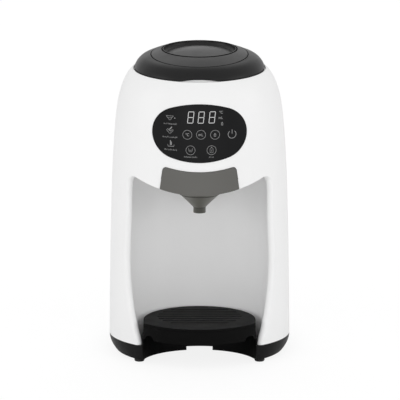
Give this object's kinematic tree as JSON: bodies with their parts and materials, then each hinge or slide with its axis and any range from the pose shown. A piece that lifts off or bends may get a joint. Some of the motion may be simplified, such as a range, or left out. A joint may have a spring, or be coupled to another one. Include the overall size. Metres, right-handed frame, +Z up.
{
  "type": "baby formula maker",
  "caption": "Countertop infant formula maker with bottle bay, mixing funnel drawer, touch panel, powder hopper under a domed lid, drip tray and rear water tank.",
  "frame": {"origin": "centre of the footprint's bounding box, on the surface the feet stand on", "axes": "+Z up; the front with the touch panel and bottle bay faces -Y; +X is to the right of a person who stands facing the front"},
  "size_m": [0.18, 0.2523, 0.3087],
  "materials": {
    "white_shell": "smooth glossy white plastic",
    "black_plastic": "satin black plastic",
    "tray_plastic": "fine-textured black plastic",
    "lid_plastic": "smooth near-black plastic",
    "touch_glass": "dark glossy window",
    "smoke_plastic": "smoked grey plastic",
    "foot_rubber": "soft black rubber",
    "screw_steel": "plain steel",
    "board_green": "circuit board",
    "display_grey": "display housing",
    "hopper_clear": "clear smoked plastic",
    "gear_plastic": "moulded gear plastic",
    "metal_unit": "cast aluminium",
    "motor_steel": "zinc-plated steel",
    "hose_silicone": "milky silicone",
    "tank_clear": "clear plastic",
    "float_blue": "foamed plastic",
    "frame_steel": "folded galvanised sheet",
    "blade_brass": "plain brass"
  },
  "bodies": {
    "housing": {"front_housing": "white_shell", "rear_housing": "white_shell", "base": "black_plastic", "rubber_feet": "foot_rubber", "base_screws": "screw_steel", "touch_panel": "touch_glass", "display_module": "display_grey", "control_board": "board_green", "deck": "black_plastic", "drawer_rails": "black_plastic", "gearmotor": "motor_steel", "tank_seat": "black_plastic", "inlet_socket": "black_plastic", "inlet_blades": "blade_brass", "inner_frame": "frame_steel", "heater_block": "metal_unit", "thermal_cutoff": "blade_brass", "water_pump": "black_plastic", "power_board": "board_green", "float_sensor_board": "board_green", "water_nozzle": "gear_plastic", "inlet_hose": "hose_silicone", "pump_hose": "hose_silicone", "outlet_hose": "hose_silicone"},
    "drive": {"drive_gear": "gear_plastic"},
    "pinion": {"pinion_gear": "gear_plastic"},
    "hopper": {"powder_hopper": "hopper_clear", "front_lip": "white_shell", "hopper_floor": "black_plastic", "scraper": "black_plastic", "lid_hinge_pin": "screw_steel"},
    "wheel": {"dosing_wheel": "gear_plastic", "stirrer": "gear_plastic"},
    "lid": {"lid_shell": "lid_plastic", "lid_insert": "lid_plastic"},
    "drawer": {"funnel_cover": "smoke_plastic", "funnel_holder": "smoke_plastic", "mixing_funnel": "smoke_plastic"},
    "tray": {"tray_tub": "tray_plastic"},
    "grille": {"drip_grille": "tray_plastic"},
    "tank": {"water_tank": "tank_clear", "tank_hinge_pin": "screw_steel", "tank_valve_body": "black_plastic", "float_rod": "gear_plastic"},
    "tank_cover": {"tank_lid": "white_shell"},
    "poppet": {"valve_poppet": "gear_plastic"},
    "float": {"tank_float": "float_blue"}
  },
  "joints": [
    {"name": "hopper_lift", "type": "slide", "parent": "housing", "child": "hopper", "axis": [0, 0, 1], "range_m": [0, 0.12]},
    {"name": "lid_hinge", "type": "hinge", "parent": "hopper", "child": "lid", "pos_m": [0, 0.0215, 0.291], "axis": [-1, 0, 0], "range_deg": [0, 90]},
    {"name": "wheel_spin", "type": "hinge", "parent": "hopper", "child": "wheel", "pos_m": [0, -0.0391, 0.2238], "axis": [0, 0, 1], "continuous": true},
    {"name": "drive_spin", "type": "hinge", "parent": "housing", "child": "drive", "pos_m": [0, -0.0391, 0.2083], "axis": [0, 0, 1], "continuous": true},
    {"name": "pinion_spin", "type": "hinge", "parent": "housing", "child": "pinion", "pos_m": [0, 0.0049, 0.2083], "axis": [0, 0, 1], "continuous": true},
    {"name": "drawer_slide", "type": "slide", "parent": "housing", "child": "drawer", "axis": [0, -1, 0], "range_m": [0, 0.08]},
    {"name": "tray_slide", "type": "slide", "parent": "housing", "child": "tray", "axis": [0, -1, 0], "range_m": [0, 0.08]},
    {"name": "grille_lift", "type": "slide", "parent": "tray", "child": "grille", "axis": [0, 0, 1], "range_m": [0, 0.03]},
    {"name": "tank_lift", "type": "slide", "parent": "housing", "child": "tank", "axis": [0, 0, 1], "range_m": [0, 0.12]},
    {"name": "tank_lid_hinge", "type": "hinge", "parent": "tank", "child": "tank_cover", "pos_m": [0, 0.10739, 0.2265], "axis": [-1, 0, 0], "range_deg": [0, 100]},
    {"name": "poppet_slide", "type": "slide", "parent": "tank", "child": "poppet", "axis": [0, 0, 1], "range_m": [-0.0028, 0]},
    {"name": "float_slide", "type": "slide", "parent": "tank", "child": "float", "axis": [0, 0, 1], "range_m": [0, 0.12]}
  ],
  "couplings": [
    {"joint": "drive_spin", "follows": "wheel_spin", "ratio": 1},
    {"joint": "pinion_spin", "follows": "wheel_spin", "ratio": -1.2},
    {"joint": "poppet_slide", "follows": "tank_lift", "ratio": -0.023333}
  ]
}
